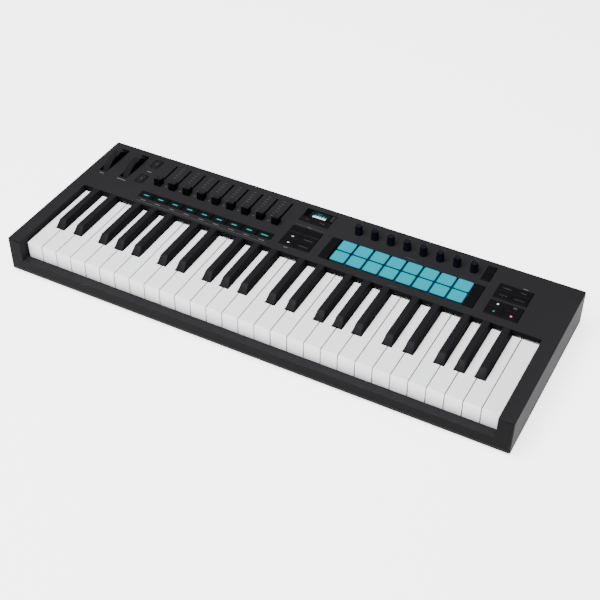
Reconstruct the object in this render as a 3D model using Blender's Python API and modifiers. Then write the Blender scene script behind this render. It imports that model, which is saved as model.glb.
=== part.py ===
"""49-key desktop controller keyboard, modelled in metres with +Z up.

X runs along the keys towards the treble end, Y runs from the player to the
rear, and the origin is under the middle of the case, on the table.
"""
import math

import bmesh
import bpy
from mathutils import Matrix, Vector

MM = 0.001

# ---- driving dimensions, millimetres; y is measured back from the front face ----
CASE_LENGTH = 725.0
CASE_DEPTH = 264.0
FOOT_HEIGHT = 3.0
SEAM_Z = 9.0
TOP_Z = 54.5
WALL = 2.6
TOUCH_GAP = 0.3

WHITE_KEYS = 29
KEY_PITCH = 23.5
KEY_GAP = 0.9
KEY_FRONT_Y = 14.6
KEY_TOP_Z = 45.85
KEY_UNDER_Z = 30.0
KEY_SKIRT_Z = 20.5
KEY_TAIL_Y = 183.5
KEY_TAIL_TOP_Z = 40.0
KEY_WALL = 1.6
PIVOT_Y = 178.0

BLACK_FRONT_Y = 59.5
BLACK_REAR_Y = 148.6
BLACK_WIDTH = 12.8
BLACK_HEIGHT = 10.0
BLACK_OFFSETS = {1: -2.0, 2: 3.2, 4: -3.0, 5: 0.0, 6: 3.6}

PANEL_FRONT_Y = 150.0
BAY_HALF = 342.2
LIP_Z = 21.8
LIP_DEPTH = 13.4

FADERS = 9
FADER_FIRST_X = -249.5
FADER_PITCH = 23.8
FADER_REST_Y = 201.5
FADER_TRAVEL = 45.0
FADER_SLOT = (197.5, 250.5)

ENCODERS = 8
ENCODER_FIRST_X = 51.5
ENCODER_PITCH = 23.9
ENCODER_Y = 233.7
ENCODER_RADIUS = 5.5
ENCODER_HEIGHT = 14.0

PAD_COLUMNS = 8
PAD_ROW_Y = (175.4, 198.6)
PAD_SIZE = 21.6
PAD_TOP_Z = 57.5

WHEEL_X = {"pitch_wheel": -339.2, "mod_wheel": -304.6}
WHEEL_RADIUS = 32.0
WHEEL_WIDTH = 10.2
WHEEL_Y = 223.5
WHEEL_Z = 33.0
WHEEL_FLAT = 10.0
AXLE_RADIUS = 2.4

BOARD_Z = (44.6, 46.2)
WEB_Z = (49.8, 51.3)
BUTTON_TOP_Z = 55.4

# ---- openings in the top panel: (x low, x high, y low, y high) ----
PAD_TRAY = (24.5, 245.0, 163.5, 210.5)
FADER_BUTTON_BAY = (-260.5, -47.8, 163.8, 177.8)
DISPLAY_BAY = (-35.3, 9.7, 222.0, 252.6)
OCTAVE_BAYS = ((-285.8, -272.2, 230.8, 251.2), (-285.8, -272.2, 190.8, 211.2))
CENTRE_BAY = (-35.6, 10.4, 164.0, 209.8)
BANK_BAY = (232.2, 245.2, 221.8, 253.6)
TRANSPORT_BAYS = ((258.6, 304.8, 196.8, 227.6), (258.6, 304.8, 163.6, 192.6))

PARTS = "midi_keyboard"
CUTTERS = "cutters"


# ---------------------------------------------------------------- helpers
def clear_scene():
    for item in list(bpy.data.objects):
        bpy.data.objects.remove(item, do_unlink=True)


def make_collection(name):
    group = bpy.data.collections.new(name)
    bpy.context.scene.collection.children.link(group)
    return group


def at(x, y, z):
    """A point in metres from millimetres, with y counted from the front face."""
    return Vector((x, y - CASE_DEPTH / 2, z)) * MM


def add_box(bm, x0, x1, y0, y1, z0, z1):
    low, high = at(x0, y0, z0), at(x1, y1, z1)
    size = high - low
    place = Matrix.Translation((low + high) / 2) @ Matrix.Diagonal((*size, 1.0))
    return bmesh.ops.create_cube(bm, size=1.0, matrix=place)["verts"]


def add_cylinder(bm, centre, radius, length, axis="Z", segments=24, top=None):
    turn = {"Z": Matrix(), "X": Matrix.Rotation(math.pi / 2, 4, "Y"),
            "Y": Matrix.Rotation(-math.pi / 2, 4, "X")}[axis]
    top = radius if top is None else top
    return bmesh.ops.create_cone(
        bm, cap_ends=True, segments=segments, radius1=radius * MM, radius2=top * MM,
        depth=length * MM, matrix=Matrix.Translation(at(*centre)) @ turn)["verts"]


def add_prism(bm, outline, z0, z1):
    """A flat outline of (x, y) points pulled up from z0 to z1."""
    ring = [bm.verts.new(at(x, y, z0)) for x, y in outline]
    base = bm.faces.new(ring)
    grown = bmesh.ops.extrude_face_region(bm, geom=[base])["geom"]
    moved = [v for v in grown if isinstance(v, bmesh.types.BMVert)]
    bmesh.ops.translate(bm, verts=moved, vec=(0, 0, (z1 - z0) * MM))


def finish_mesh(name, bm, group, material=None):
    bmesh.ops.recalc_face_normals(bm, faces=bm.faces[:])
    mesh = bpy.data.meshes.new(name)
    bm.to_mesh(mesh)
    bm.free()
    item = bpy.data.objects.new(name, mesh)
    group.objects.link(item)
    if material:
        mesh.materials.append(material)
    return item


def solid(name, boxes, group, material=None):
    bm = bmesh.new()
    for box in boxes:
        add_box(bm, *box)
    return finish_mesh(name, bm, group, material)


def make_material(name, colour, roughness, metallic=0.0):
    material = bpy.data.materials.new(name)
    material.use_nodes = True
    shader = material.node_tree.nodes["Principled BSDF"]
    shader.inputs["Base Color"].default_value = (*colour, 1.0)
    shader.inputs["Roughness"].default_value = roughness
    shader.inputs["Metallic"].default_value = metallic
    return material


def combine(target, tool, operation="DIFFERENCE"):
    tool.hide_render = True
    tool.display_type = "WIRE"
    change = target.modifiers.new(operation.lower() + "_" + tool.name, "BOOLEAN")
    change.operation = operation
    change.solver = "EXACT"
    change.object = tool


def cut_boxes(target, boxes, cutters):
    """Each box is its own cutter, because neighbours may overlap."""
    for number, box in enumerate(boxes, 1):
        tool = solid(f"{target.name}_cut_{number}", [box], cutters)
        combine(target, tool)


def join_boxes(target, boxes, cutters):
    for number, box in enumerate(boxes, 1):
        tool = solid(f"{target.name}_add_{number}", [box], cutters)
        combine(target, tool, "UNION")


def bevel_marked(item, width, segments=1):
    change = item.modifiers.new("bevel", "BEVEL")
    change.limit_method = "WEIGHT"
    change.width = width * MM
    change.segments = segments


def mark_edges(bm, chosen):
    layer = bm.edges.layers.float.new("bevel_weight_edge")
    for edge in bm.edges:
        low, high = (v.co for v in edge.verts)
        edge[layer] = chosen(low, high)


def above(z):
    """Edge chooser: both ends at or over this height."""
    return lambda a, b: 1.0 if min(a.z, b.z) > z * MM else 0.0


def set_origin(item, point):
    item.data.transform(Matrix.Translation(-point))
    item.location = point


# ---------------------------------------------------------------- layout
def boundary_x(index):
    """X of the line between white key index and index + 1."""
    return (index - WHITE_KEYS / 2) * KEY_PITCH


def black_offset(index):
    """Sideways offset of the black key over a boundary, or None."""
    if index <= 0 or index >= WHITE_KEYS - 1:
        return None
    return BLACK_OFFSETS.get(index % 7)


def fader_x(number):
    return FADER_FIRST_X + number * FADER_PITCH


def encoder_x(number):
    return ENCODER_FIRST_X + number * ENCODER_PITCH


# ---------------------------------------------------------------- keys
def white_outline(index, inset):
    """Plan of a white key, with the steps that clear its black neighbours."""
    left = boundary_x(index) + KEY_GAP / 2 + inset
    right = boundary_x(index + 1) - KEY_GAP / 2 - inset
    reach = BLACK_WIDTH / 2 + KEY_GAP + inset
    front = KEY_FRONT_Y + (0.8 + KEY_WALL if inset else 0.0)
    step = BLACK_FRONT_Y - KEY_GAP - inset
    rear = BLACK_REAR_Y - KEY_WALL - inset if inset else KEY_TAIL_Y
    outline = [(left, front), (right, front)]
    after, before = black_offset(index + 1), black_offset(index)
    if after is None:
        outline.append((right, rear))
    else:
        narrow = boundary_x(index + 1) + after - reach
        outline += [(right, step), (narrow, step), (narrow, rear)]
    if before is None:
        outline.append((left, rear))
    else:
        narrow = boundary_x(index) + before + reach
        outline += [(narrow, rear), (narrow, step), (left, step)]
    return outline


def white_key(index, group, cutters, material):
    name = f"white_key_{index + 1:02d}"
    bm = bmesh.new()
    add_prism(bm, white_outline(index, 0.0), KEY_UNDER_Z, KEY_TOP_Z)
    mark_edges(bm, above(KEY_TOP_Z - 1))
    key = finish_mesh(name, bm, group, material)
    bevel_marked(key, 0.6)

    left = boundary_x(index) + KEY_GAP / 2
    right = boundary_x(index + 1) - KEY_GAP / 2
    skirt = (left, right, KEY_FRONT_Y, KEY_FRONT_Y + 2.4, KEY_SKIRT_Z, KEY_UNDER_Z + 2)
    join_boxes(key, [skirt], cutters)

    bm = bmesh.new()
    add_prism(bm, white_outline(index, KEY_WALL), KEY_UNDER_Z - 1, KEY_TOP_Z - 2.4)
    combine(key, finish_mesh(name + "_hollow", bm, cutters))
    step = (left - 1, right + 1, BLACK_REAR_Y + 0.6, KEY_TAIL_Y + 1, KEY_TAIL_TOP_Z, KEY_TOP_Z + 1)
    cut_boxes(key, [step], cutters)
    set_origin(key, at((left + right) / 2, PIVOT_Y, KEY_UNDER_Z))


def black_cap(bm, x):
    """A stem with a cap whose sides lean in and whose front slopes back."""
    half = BLACK_WIDTH / 2
    shoulder = KEY_TOP_Z + 0.4
    verts = add_box(bm, x - half, x + half, BLACK_FRONT_Y, BLACK_REAR_Y, KEY_UNDER_Z, shoulder)
    faces = {f for v in verts for f in v.link_faces}
    top = max(faces, key=lambda f: f.calc_center_median().z)
    grown = bmesh.ops.extrude_face_region(bm, geom=[top])["geom"]
    bmesh.ops.delete(bm, geom=[top], context="FACES_ONLY")
    front = at(x, BLACK_FRONT_Y, 0).y
    for vert in (v for v in grown if isinstance(v, bmesh.types.BMVert)):
        vert.co.z += BLACK_HEIGHT * MM
        vert.co.x = x * MM + (vert.co.x - x * MM) * 0.77
        if vert.co.y < front + MM:
            vert.co.y += 9.0 * MM


def black_comb(octave, group, cutters, material):
    """Five black keys moulded with one rear rail, as one comb per octave."""
    name = f"black_keys_octave_{octave + 1}"
    places = [boundary_x(7 * octave + n) + BLACK_OFFSETS[n] for n in BLACK_OFFSETS]
    rail = (places[0] - 4, places[-1] + 4, 166.0, 176.0, 41.4, 43.8)
    comb = solid(name, [rail], group, material)
    for number, x in enumerate(places, 1):
        bm = bmesh.new()
        black_cap(bm, x)
        mark_edges(bm, above(KEY_TOP_Z + 5))
        cap = finish_mesh(f"{name}_cap_{number}", bm, cutters)
        bevel_marked(cap, 0.9)
        combine(comb, cap, "UNION")
    tails = [(x - 3.6, x + 3.6, BLACK_REAR_Y - 8, KEY_TAIL_Y, 31.0, 43.0) for x in places]
    join_boxes(comb, tails, cutters)
    half = BLACK_WIDTH / 2 - KEY_WALL
    hollows = bmesh.new()
    for x in places:
        add_box(hollows, x - half, x + half, BLACK_FRONT_Y + 2, BLACK_REAR_Y - 10,
                KEY_UNDER_Z - 1, KEY_TOP_Z - 1)
    combine(comb, finish_mesh(name + "_hollows", hollows, cutters))
    set_origin(comb, at(sum(places) / len(places), PIVOT_Y, KEY_UNDER_Z))


# ---------------------------------------------------------------- case
def top_case(group, cutters, material):
    half = CASE_LENGTH / 2
    bm = bmesh.new()
    add_box(bm, -half, half, 0, CASE_DEPTH, SEAM_Z, TOP_Z)
    mark_edges(bm, lambda a, b: 1.0 if abs(a.z - b.z) > MM else above(TOP_Z - 1)(a, b) * 0.5)
    case = finish_mesh("top_case", bm, group, material)
    bevel_marked(case, 3.0, 3)

    under, roof = SEAM_Z - 1, TOP_Z - WALL - 0.2
    inner, rear = half - WALL, CASE_DEPTH - WALL
    bay, wall_y = BAY_HALF, PANEL_FRONT_Y + WALL
    cut_boxes(case, [
        (-inner, inner, wall_y, rear, under, roof),
        (-bay, bay, LIP_DEPTH, PANEL_FRONT_Y, under, TOP_Z + 1),
        (-bay, bay, PANEL_FRONT_Y - 1, wall_y + 1, under, KEY_TOP_Z + 1.75),
        (bay + WALL, inner, WALL, wall_y + 0.5, under, roof),
        (-inner, -bay - WALL, WALL, wall_y + 0.5, under, roof),
        (-bay, bay, -1, LIP_DEPTH + 1, LIP_Z, TOP_Z + 1),
        (-bay, bay, WALL, LIP_DEPTH + 1, under, LIP_Z - WALL),
    ], cutters)
    cut_panel(case, cutters)
    cut_rear_wall(case, cutters)


def cut_panel(case, cutters):
    """Slots, bays and holes through the control panel, in one cutter."""
    through = (TOP_Z - 5, TOP_Z + 2)
    bm = bmesh.new()
    bays = (PAD_TRAY, FADER_BUTTON_BAY, DISPLAY_BAY, CENTRE_BAY, BANK_BAY)
    for bay in bays + OCTAVE_BAYS + TRANSPORT_BAYS:
        add_box(bm, *bay, *through)
    for number in range(FADERS):
        x = fader_x(number)
        add_box(bm, x - 1.6, x + 1.6, *FADER_SLOT, *through)
    for number in range(ENCODERS):
        add_cylinder(bm, (encoder_x(number), ENCODER_Y, TOP_Z), 3.7, 8, segments=12)
    for x in WHEEL_X.values():
        add_box(bm, x - 6.4, x + 6.4, 191.0, 251.4, *through)
    combine(case, finish_mesh("panel_openings", bm, cutters))


def cut_rear_wall(case, cutters):
    bm = bmesh.new()
    for x, radius in ((-250.0, 7.6), (-222.0, 4.6)):
        add_cylinder(bm, (x, CASE_DEPTH, 34.0), radius, 12, axis="Y", segments=20)
    add_box(bm, -283.0, -273.6, CASE_DEPTH - 6, CASE_DEPTH + 2, 32.2, 35.8)
    combine(case, finish_mesh("rear_wall_holes", bm, cutters))


def bottom_case(group, cutters, material):
    half = CASE_LENGTH / 2
    bm = bmesh.new()
    add_box(bm, -half, half, 0, CASE_DEPTH, FOOT_HEIGHT, SEAM_Z - TOUCH_GAP)
    mark_edges(bm, lambda a, b: 1.0 if abs(a.z - b.z) > MM else (
        0.6 if max(a.z, b.z) < (FOOT_HEIGHT + 1) * MM else 0.0))
    case = finish_mesh("bottom_case", bm, group, material)
    bevel_marked(case, 3.0, 3)
    inner = half - WALL
    cut_boxes(case, [(-inner, inner, WALL, CASE_DEPTH - WALL, FOOT_HEIGHT + WALL, SEAM_Z + 1)], cutters)

    bm = bmesh.new()
    for x in (-320.0, 0.0, 320.0):
        for y in (24.0, 240.0):
            add_cylinder(bm, (x, y, 2.0), 9.0, 4.0, segments=20)
    combine(case, finish_mesh("feet", bm, cutters), "UNION")
    add_supports(case, cutters)
    add_wheel_posts(case, cutters)


def add_supports(case, cutters):
    """Ribs under the keybed chassis and posts under the circuit board."""
    floor, clear = FOOT_HEIGHT + WALL - 1, 0.05
    bm = bmesh.new()
    for y in (40.0, 110.0, 182.0):
        add_box(bm, -330, 330, y - 1.2, y + 1.2, floor, 8.8 - clear)
    for x in (-266.0, -140.0, -60.0, 40.0, 180.0, 312.0):
        add_box(bm, x - 3, x + 3, 204, 210, floor, BOARD_Z[0] - clear)
    combine(case, finish_mesh("supports", bm, cutters), "UNION")


def add_wheel_posts(case, cutters):
    """Two bearing posts beside each wheel, bored for the wheel's axle."""
    posts, holes = bmesh.new(), bmesh.new()
    floor = FOOT_HEIGHT + WALL
    for x in WHEEL_X.values():
        for side in (-7.4, 7.4):
            add_box(posts, x + side - 1.2, x + side + 1.2, WHEEL_Y - 6, WHEEL_Y + 6, floor - 1, 42.0)
            add_cylinder(holes, (x + side, WHEEL_Y, WHEEL_Z), AXLE_RADIUS + 0.5, 5, "X", 16)
    combine(case, finish_mesh("wheel_posts", posts, cutters), "UNION")
    combine(case, finish_mesh("axle_holes", holes, cutters))


def keybed_chassis(group, cutters, material):
    """Pressed tray under the keys: guide pins, fulcrum ridge and rear wall."""
    end = 340.0
    tray = solid("keybed_chassis", [(-end, end, 22.0, 189.0, 8.8, 10.0)], group, material)
    join_boxes(tray, [
        (-end, end, 22.0, 25.0, 9.0, 18.0),
        (-end, end, 176.5, 179.5, 9.0, KEY_UNDER_Z - 0.4),
        (-end, end, 186.0, 189.0, 9.0, 43.4),
    ], cutters)
    pins = bmesh.new()
    for index in range(WHITE_KEYS):
        x = boundary_x(index) + KEY_PITCH / 2
        add_box(pins, x - 2, x + 2, 22.6, 24.4, 17.0, 31.0)
    combine(tray, finish_mesh("guide_pins", pins, cutters), "UNION")


# ---------------------------------------------------------------- electronics
def main_board(group, cutters, material):
    board = solid("main_board", [(-286.0, 318.0, 154.0, 256.0, *BOARD_Z)], group, material)
    low, high = BOARD_Z
    bm = bmesh.new()
    for number in range(FADERS):
        x = fader_x(number)
        add_box(bm, x - 4, x + 4, 193.0, 252.0, low + 0.5, 51.0)
    for number in range(ENCODERS):
        x = encoder_x(number)
        add_box(bm, x - 5.5, x + 5.5, ENCODER_Y - 5.5, ENCODER_Y + 5.5, low + 0.5, 51.2)
    add_box(bm, -257.6, -242.4, 244.0, 260.8, 25.6, high - 0.5)
    add_box(bm, -228.0, -216.0, 244.0, 260.8, 28.0, high - 0.5)
    add_box(bm, -283.4, -273.2, 250.0, 260.8, 31.8, high - 0.5)
    combine(board, finish_mesh("soldered_parts", bm, cutters), "UNION")

    shafts, bores = bmesh.new(), bmesh.new()
    for number in range(ENCODERS):
        add_cylinder(shafts, (encoder_x(number), ENCODER_Y, 56.0), 3.0, 13.0, segments=12)
    add_cylinder(bores, (-250.0, 261.0, 34.0), 6.4, 7.0, "Y", 20)
    add_cylinder(bores, (-222.0, 261.0, 34.0), 3.3, 7.0, "Y", 16)
    add_box(bores, -282.8, -273.8, 257.5, 262.0, 32.6, 35.4)
    combine(board, finish_mesh("encoder_shafts", shafts, cutters), "UNION")
    combine(board, finish_mesh("socket_mouths", bores, cutters))


def display_module(group, cutters, material):
    x0, x1, y0, y1 = DISPLAY_BAY
    edge = TOUCH_GAP + 0.1
    lens = (x0 + edge, x1 - edge, y0 + edge, y1 - edge, 50.0, TOP_Z - 0.2)
    module = solid("display_module", [lens], group, material)
    join_boxes(module, [(x0 - 2, x1 + 2, y0 - 2, y1 + 1.5, 47.6, WEB_Z[1])], cutters)


# ---------------------------------------------------------------- mats
def rounded_button(bm, x0, x1, y0, y1, top, rise):
    """A key top with its upper edge drawn in, standing on the web."""
    verts = add_box(bm, x0, x1, y0, y1, WEB_Z[0] + 0.5, top - rise)
    faces = {f for v in verts for f in v.link_faces}
    lid = max(faces, key=lambda f: f.calc_center_median().z)
    grown = bmesh.ops.extrude_face_region(bm, geom=[lid])["geom"]
    bmesh.ops.delete(bm, geom=[lid], context="FACES_ONLY")
    middle = at((x0 + x1) / 2, (y0 + y1) / 2, 0)
    for vert in (v for v in grown if isinstance(v, bmesh.types.BMVert)):
        side = Vector((vert.co.x - middle.x, vert.co.y - middle.y, 0))
        vert.co.x -= math.copysign(rise * MM, side.x)
        vert.co.y -= math.copysign(rise * MM, side.y)
        vert.co.z += rise * MM


def grid_buttons(bm, bay, columns, rows, gap=1.0):
    """Fill a bay of the panel with an even grid of buttons."""
    x0, x1, y0, y1 = bay
    margin = TOUCH_GAP + 0.2
    wide = (x1 - x0 - 2 * margin - (columns - 1) * gap) / columns
    deep = (y1 - y0 - 2 * margin - (rows - 1) * gap) / rows
    for column in range(columns):
        for row in range(rows):
            x = x0 + margin + column * (wide + gap)
            y = y0 + margin + row * (deep + gap)
            rounded_button(bm, x, x + wide, y, y + deep, BUTTON_TOP_Z, 0.6)


def pad_mat(group, cutters, material):
    x0, x1, y0, y1 = PAD_TRAY
    web = (x0 - 3, x1 + 3, y0 - 3, y1 + 3, *WEB_Z)
    mat = solid("pad_mat", [web], group, material)
    pads = bmesh.new()
    half = PAD_SIZE / 2
    for column in range(PAD_COLUMNS):
        x = encoder_x(column)
        for y in PAD_ROW_Y:
            rounded_button(pads, x - half, x + half, y - half, y + half, PAD_TOP_Z, 1.4)
    combine(mat, finish_mesh("pads", pads, cutters), "UNION")
    side = bmesh.new()
    grid_buttons(side, (x0, x0 + 13.8, y0, y1), 1, 2)
    grid_buttons(side, (x1 - 13.8, x1, y0, y1), 1, 2)
    combine(mat, finish_mesh("side_buttons", side, cutters), "UNION")


def fader_button_mat(group, cutters, material):
    x0, x1, y0, y1 = FADER_BUTTON_BAY
    mat = solid("fader_button_mat", [(x0 - 3, x1 + 3, y0 - 3, y1 + 3, *WEB_Z)], group, material)
    buttons = bmesh.new()
    for number in range(FADERS):
        x = fader_x(number)
        rounded_button(buttons, x - 9.6, x + 9.6, y0 + 0.5, y1 - 0.5, BUTTON_TOP_Z, 0.6)
    combine(mat, finish_mesh("fader_buttons", buttons, cutters), "UNION")


def function_button_mat(group, cutters, material):
    """One silicone mat: a rear strip with a branch to each group of buttons."""
    z = WEB_Z
    strip = (-289.0, 306.0, 255.6, 260.4, *z)
    mat = solid("function_button_mat", [strip], group, material)
    join_boxes(mat, [
        (-288.0, -270.0, 189.0, 256.5, *z),
        (-44.2, -38.6, 163.0, 256.5, *z),
        (-40.0, 12.0, 162.0, 211.6, *z),
        (230.2, 247.2, 219.8, 256.5, *z),
        (275.0, 289.0, 225.0, 256.5, *z),
        (256.6, 306.8, 161.6, 229.6, *z),
    ], cutters)
    buttons = bmesh.new()
    for bay in OCTAVE_BAYS:
        grid_buttons(buttons, bay, 1, 1)
    grid_buttons(buttons, CENTRE_BAY, 2, 3)
    grid_buttons(buttons, BANK_BAY, 1, 2)
    for bay in TRANSPORT_BAYS:
        grid_buttons(buttons, bay, 2, 2)
    combine(mat, finish_mesh("function_buttons", buttons, cutters), "UNION")


# ---------------------------------------------------------------- controls
def fader_cap(number, group, cutters, material):
    name = f"fader_cap_{number + 1}"
    x, y = fader_x(number), FADER_REST_Y
    bm = bmesh.new()
    verts = add_box(bm, x - 4.9, x + 4.9, y - 5.5, y + 5.5, TOP_Z + 0.7, TOP_Z + 12.0)
    top = max(v.co.z for v in verts)
    for vert in verts:
        if vert.co.z > top - MM:
            vert.co.y += math.copysign(0.6 * MM, at(x, y, 0).y - vert.co.y)
    mark_edges(bm, above(TOP_Z - 5))
    cap = finish_mesh(name, bm, group, material)
    bevel_marked(cap, 0.6)
    bm = bmesh.new()
    add_cylinder(bm, (x, y, TOP_Z + 17.9), 7.4, 15, "X", 20)
    combine(cap, finish_mesh(name + "_scoop", bm, cutters))
    join_boxes(cap, [(x - 0.7, x + 0.7, y - 2.2, y + 2.2, 51.4, TOP_Z + 3)], cutters)
    set_origin(cap, at(x, y, TOP_Z))


def encoder_knob(number, group, cutters, material):
    name = f"encoder_knob_{number + 1}"
    x = encoder_x(number)
    low = TOP_Z + 0.6
    bm = bmesh.new()
    add_cylinder(bm, (x, ENCODER_Y, low + ENCODER_HEIGHT / 2), ENCODER_RADIUS,
                 ENCODER_HEIGHT, segments=24, top=ENCODER_RADIUS - 0.5)
    mark_edges(bm, above(low + ENCODER_HEIGHT - 1))
    knob = finish_mesh(name, bm, group, material)
    bevel_marked(knob, 0.7)
    bm = bmesh.new()
    add_cylinder(bm, (x, ENCODER_Y, low + 3.0), 3.35, 10.2, segments=12)
    combine(knob, finish_mesh(name + "_bore", bm, cutters))
    set_origin(knob, at(x, ENCODER_Y, low))


def wheel(name, notch, group, cutters, material):
    """A wheel on its axle, cut off flat below so that it clears the bottom case."""
    x = WHEEL_X[name]
    centre = (x, WHEEL_Y, WHEEL_Z)
    bm = bmesh.new()
    add_cylinder(bm, centre, WHEEL_RADIUS, WHEEL_WIDTH, "X", 40)
    mark_edges(bm, lambda a, b: 1.0 if abs(a.x - b.x) < MM * 0.1 else 0.0)
    item = finish_mesh(name, bm, group, material)
    bevel_marked(item, 0.8)
    bm = bmesh.new()
    add_cylinder(bm, centre, AXLE_RADIUS, 18.4, "X", 16)
    combine(item, finish_mesh(name + "_axle", bm, cutters), "UNION")
    bm = bmesh.new()
    add_cylinder(bm, (x, WHEEL_Y, WHEEL_Z + WHEEL_RADIUS + notch - 2.2), notch, 16, "X", 20)
    combine(item, finish_mesh(name + "_finger_groove", bm, cutters))
    reach, half = WHEEL_RADIUS + 1, WHEEL_WIDTH / 2 + 1
    low, high = WHEEL_Z - reach, WHEEL_Z - WHEEL_FLAT
    cut_boxes(item, [(x - half, x + half, WHEEL_Y - reach, WHEEL_Y + reach, low, high)], cutters)
    set_origin(item, at(*centre))


# ---------------------------------------------------------------- assembly
def main():
    clear_scene()
    group, cutters = make_collection(PARTS), make_collection(CUTTERS)
    shell = make_material("case_plastic", (0.075, 0.075, 0.08), 0.55)
    pan = make_material("pan_plastic", (0.045, 0.045, 0.048), 0.6)
    steel = make_material("chassis_steel", (0.55, 0.56, 0.58), 0.35, 0.9)
    ivory = make_material("white_key_plastic", (0.86, 0.86, 0.85), 0.3)
    ebony = make_material("black_key_plastic", (0.02, 0.02, 0.022), 0.4)
    rubber = make_material("control_rubber", (0.018, 0.018, 0.02), 0.7)
    button = make_material("button_silicone", (0.03, 0.03, 0.033), 0.65)
    glow = make_material("pad_silicone", (0.0, 0.75, 0.8), 0.45)
    glass = make_material("display_lens", (0.01, 0.012, 0.014), 0.08)
    board = make_material("circuit_board", (0.02, 0.16, 0.07), 0.5)

    top_case(group, cutters, shell)
    bottom_case(group, cutters, pan)
    keybed_chassis(group, cutters, steel)
    main_board(group, cutters, board)
    display_module(group, cutters, glass)
    pad_mat(group, cutters, glow)
    fader_button_mat(group, cutters, button)
    function_button_mat(group, cutters, button)
    for index in range(WHITE_KEYS):
        white_key(index, group, cutters, ivory)
    for octave in range(WHITE_KEYS // 7):
        black_comb(octave, group, cutters, ebony)
    for number in range(FADERS):
        fader_cap(number, group, cutters, rubber)
    for number in range(ENCODERS):
        encoder_knob(number, group, cutters, rubber)
    wheel("pitch_wheel", 9.0, group, cutters, rubber)
    wheel("mod_wheel", 5.0, group, cutters, rubber)
    bpy.context.view_layer.update()


main()
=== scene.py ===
"""Looks for a 49-key desktop controller keyboard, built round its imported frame."""
import math

import bmesh
import bpy
from bpy.props import FloatProperty, FloatVectorProperty, IntProperty, PointerProperty
from mathutils import Matrix, Vector


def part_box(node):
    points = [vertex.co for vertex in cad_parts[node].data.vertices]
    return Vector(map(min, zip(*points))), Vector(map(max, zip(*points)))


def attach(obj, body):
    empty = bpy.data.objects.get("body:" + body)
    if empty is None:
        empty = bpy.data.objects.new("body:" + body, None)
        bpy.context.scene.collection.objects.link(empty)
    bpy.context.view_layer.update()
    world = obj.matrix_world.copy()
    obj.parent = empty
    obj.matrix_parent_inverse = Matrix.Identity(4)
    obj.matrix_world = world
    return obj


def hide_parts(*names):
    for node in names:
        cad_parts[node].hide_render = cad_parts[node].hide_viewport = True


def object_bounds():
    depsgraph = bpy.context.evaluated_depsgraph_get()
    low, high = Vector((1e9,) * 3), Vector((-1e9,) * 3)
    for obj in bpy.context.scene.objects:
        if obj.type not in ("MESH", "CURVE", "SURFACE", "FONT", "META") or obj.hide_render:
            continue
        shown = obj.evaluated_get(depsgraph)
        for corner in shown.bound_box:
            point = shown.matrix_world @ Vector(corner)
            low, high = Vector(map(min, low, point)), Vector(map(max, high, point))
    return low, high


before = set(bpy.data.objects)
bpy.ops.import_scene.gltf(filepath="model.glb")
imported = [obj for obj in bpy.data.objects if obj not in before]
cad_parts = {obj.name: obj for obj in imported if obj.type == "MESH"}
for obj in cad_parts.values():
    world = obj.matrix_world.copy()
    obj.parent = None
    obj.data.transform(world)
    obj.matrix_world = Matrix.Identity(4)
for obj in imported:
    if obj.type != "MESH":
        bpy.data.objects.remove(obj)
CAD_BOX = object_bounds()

bl_info = {
    "name": "Controller Keyboard",
    "version": (1, 0, 0),
    "blender": (4, 5, 0),
    "location": "View3D > Sidebar > Keyboard",
    "description": "Builds the finished surfaces of a 49-key controller keyboard",
    "category": "Object",
}

MM = 0.001
CASE = "case"
WHITE_KEYS = 29
FADERS = 9
ENCODERS = 8
FULL_TURN = 2 * math.pi
# Faces this square to an axis are shaded flat.
SQUARE = 0.9995

# Places are in millimetres: x from the middle of the case, y from its front face and
# z from the table. These are the panel's openings: left, right, front, rear.
PAD_TRAY = (24.5, 245.0, 163.5, 210.5)
FADER_BUTTON_BAY = (-260.5, -47.8, 163.8, 177.8)
DISPLAY_BAY = (-35.3, 9.7, 222.0, 252.6)
MENU_BAY = (-35.6, 10.4, 164.0, 209.8)
# Places from front to rear.
PAD_ROWS = (175.4, 198.6)
FADER_SLOT_ENDS = (197.5, 250.5)
MENU_BAR = 194.53
# Places from left to right.
BANK_SPAN = (228.0, 250.0)
OCTAVE_EDGE = -262.0
TRANSPORT_MIDDLE = 281.7
OCTAVE_BUTTONS = ((-279.0, 201.0), (-279.0, 241.0))
# Heights.
BUTTON_TOP = 55.4
WEB_TOP = 51.3
PAD_WALL_TOP = 56.0
BOARD_MIDDLE = 45.4
PAN_UNDER = 3.0
SOCKET_LEVEL = 34.0
# Under the case, and the sockets in its rear wall.
FEET = tuple((x, y) for x in (-320.0, 0.0, 320.0) for y in (24.0, 240.0))
SCREWS = tuple((x, y) for x in (-350.0, -200.0, -60.0, 60.0, 200.0, 350.0)
               for y in (9.0, 132.0, 255.0))
FIVE_PIN_X = -250.0
FOOT_SWITCH_X = -222.0
# Half sizes of the pads and of the buttons under the faders.
PAD_HALF = 10.65
FADER_BUTTON_HALF = 11.4
# The camera's place past the case's front, in metres, and its turn.
CAMERA_PLACE = (0.58397, -0.9491, 1.06684)
CAMERA_TURN = (0.85193, -0.00442, 0.48799)

# Printed marks: left, right, front, rear.
BRIGHT_PRINT = (
    (-341.2, -334.4, 185.2, 186.6), (-311.0, -297.0, 185.2, 186.6), (-282.6, -274.6, 219.6, 220.9),
    (-15.9, -10.1, 212.6, 214.0), (-25.2, -19.4, 159.8, 161.0), (288.9, 295.4, 229.5, 230.7),
)
FAINT_PRINT = (
    (-33.9, 9.3, 213.1, 213.6), (128.4, 142.4, 216.6, 217.6), (132.6, 143.8, 154.8, 155.6),
    (-258.0, -50.0, 154.9, 155.7),
)
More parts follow.
